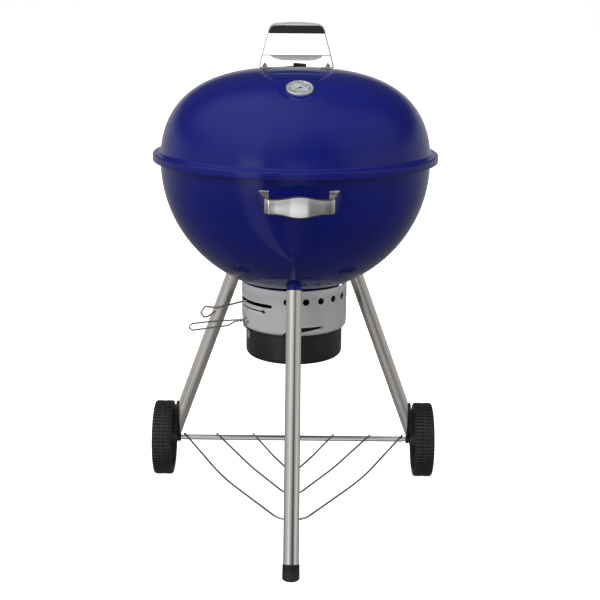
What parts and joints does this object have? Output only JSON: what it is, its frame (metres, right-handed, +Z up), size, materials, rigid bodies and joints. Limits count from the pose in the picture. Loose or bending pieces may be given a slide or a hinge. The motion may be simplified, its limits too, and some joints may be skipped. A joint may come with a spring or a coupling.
{
  "type": "kettle charcoal grill",
  "caption": "Round charcoal grill: enamelled bowl and domed lid on a wheeled tripod with a wire rack, an ash sweep and a twist-off ash pot.",
  "frame": {"origin": "middle of the footprint, on the ground", "axes": "+Z up, -Y the front with the single leg and the handle, +X to the right seen from the front"},
  "size_m": [0.666, 0.6954, 1.0748],
  "materials": {
    "enamel": "blue porcelain enamel, gloss",
    "stainless": "brushed stainless steel",
    "bright_wire": "bright chrome plate",
    "plated_steel": "satin plated steel",
    "yellow_zinc": "yellow zinc plate",
    "ring_grey": "satin grey paint",
    "pot_black": "satin black paint",
    "aluminium": "rolled aluminium",
    "vent_black": "satin black paint",
    "black_plastic": "moulded glass-filled nylon",
    "wheel_plastic": "moulded black plastic",
    "gauge_dial": "printed light dial",
    "gauge_needle": "red lacquer",
    "gauge_glass": "clear flat glass"
  },
  "bodies": {
    "kettle": {"bowl": "enamel", "leg_sockets": "enamel", "front_leg": "stainless", "rear_left_leg": "stainless", "rear_right_leg": "stainless", "front_foot": "black_plastic", "left_leg_end_cap": "black_plastic", "right_leg_end_cap": "black_plastic", "axle": "bright_wire", "axle_push_nuts": "plated_steel", "rack_rear_tube": "bright_wire", "rack_wires": "bright_wire", "rack_front_clip": "plated_steel", "front_handle": "stainless", "front_handle_screws": "yellow_zinc", "front_handle_nuts": "yellow_zinc", "ash_ring": "ring_grey", "ring_tabs": "plated_steel", "ring_screws": "yellow_zinc", "ring_nuts": "yellow_zinc", "sweep_bush": "plated_steel", "grate_brackets": "plated_steel", "charcoal_brackets": "plated_steel"},
    "lid_assembly": {"lid": "enamel", "lid_bail": "stainless", "lid_grip": "black_plastic", "heat_shield": "plated_steel", "lid_bail_bolts": "yellow_zinc", "lid_bail_nuts": "yellow_zinc", "lid_vent_rivet": "plated_steel", "gauge_bezel": "bright_wire", "gauge_dial": "gauge_dial", "gauge_glass": "gauge_glass", "gauge_stem": "stainless", "gauge_nut": "yellow_zinc"},
    "vent_damper": {"lid_vent": "vent_black"},
    "gauge_pointer": {"gauge_needle": "gauge_needle"},
    "pot_assembly": {"ash_pot": "pot_black", "pot_bracket": "plated_steel", "pot_rivets": "plated_steel", "pot_handle": "bright_wire", "pot_pins": "yellow_zinc"},
    "sweep_assembly": {"sweep_blades": "aluminium", "sweep_lever_hub": "plated_steel", "sweep_lever": "bright_wire", "sweep_nut": "yellow_zinc"},
    "charcoal_grate": {"charcoal_grate_rim": "plated_steel", "charcoal_grate_bars": "plated_steel"},
    "cooking_grate": {"cooking_grate_rim": "bright_wire", "cooking_grate_bars": "bright_wire", "cooking_grate_handles": "bright_wire"},
    "wheel_left": {"left_wheel": "wheel_plastic", "left_hub_cap": "wheel_plastic"},
    "wheel_right": {"right_wheel": "wheel_plastic", "right_hub_cap": "wheel_plastic"}
  },
  "joints": [
    {"name": "lid_lift", "type": "slide", "parent": "kettle", "child": "lid_assembly", "axis": [0, 0, 1], "range_m": [0, 0.35]},
    {"name": "vent_turn", "type": "hinge", "parent": "lid_assembly", "child": "vent_damper", "pos_m": [-0.00655, 0.19486, 0.9672], "axis": [-0.012, 0.2756, 0.9612], "range_deg": [-45, 0]},
    {"name": "pointer_turn", "type": "hinge", "parent": "lid_assembly", "child": "gauge_pointer", "pos_m": [0.00809, -0.14051, 0.95436], "axis": [0.0181, -0.4145, 0.9099], "range_deg": [-230, 0], "stiffness_Nm_per_rad": 0.0002},
    {"name": "pot_twist", "type": "hinge", "parent": "kettle", "child": "pot_assembly", "pos_m": [0, 0.04473, 0.4], "axis": [0, 0, 1], "range_deg": [-31, 0]},
    {"name": "sweep_turn", "type": "hinge", "parent": "kettle", "child": "sweep_assembly", "pos_m": [0, 0.04473, 0.5], "axis": [0, 0, 1], "range_deg": [-44, 32]},
    {"name": "charcoal_grate_lift", "type": "slide", "parent": "kettle", "child": "charcoal_grate", "axis": [0, 0, 1], "range_m": [0, 0.12]},
    {"name": "cooking_grate_lift", "type": "slide", "parent": "kettle", "child": "cooking_grate", "axis": [0, 0, 1], "range_m": [0, 0.04]},
    {"name": "left_wheel_turn", "type": "hinge", "parent": "kettle", "child": "wheel_left", "pos_m": [-0.3105, 0.21773, 0.0884], "axis": [1, 0, 0], "continuous": true},
    {"name": "right_wheel_turn", "type": "hinge", "parent": "kettle", "child": "wheel_right", "pos_m": [0.3105, 0.21773, 0.0884], "axis": [1, 0, 0], "continuous": true}
  ]
}
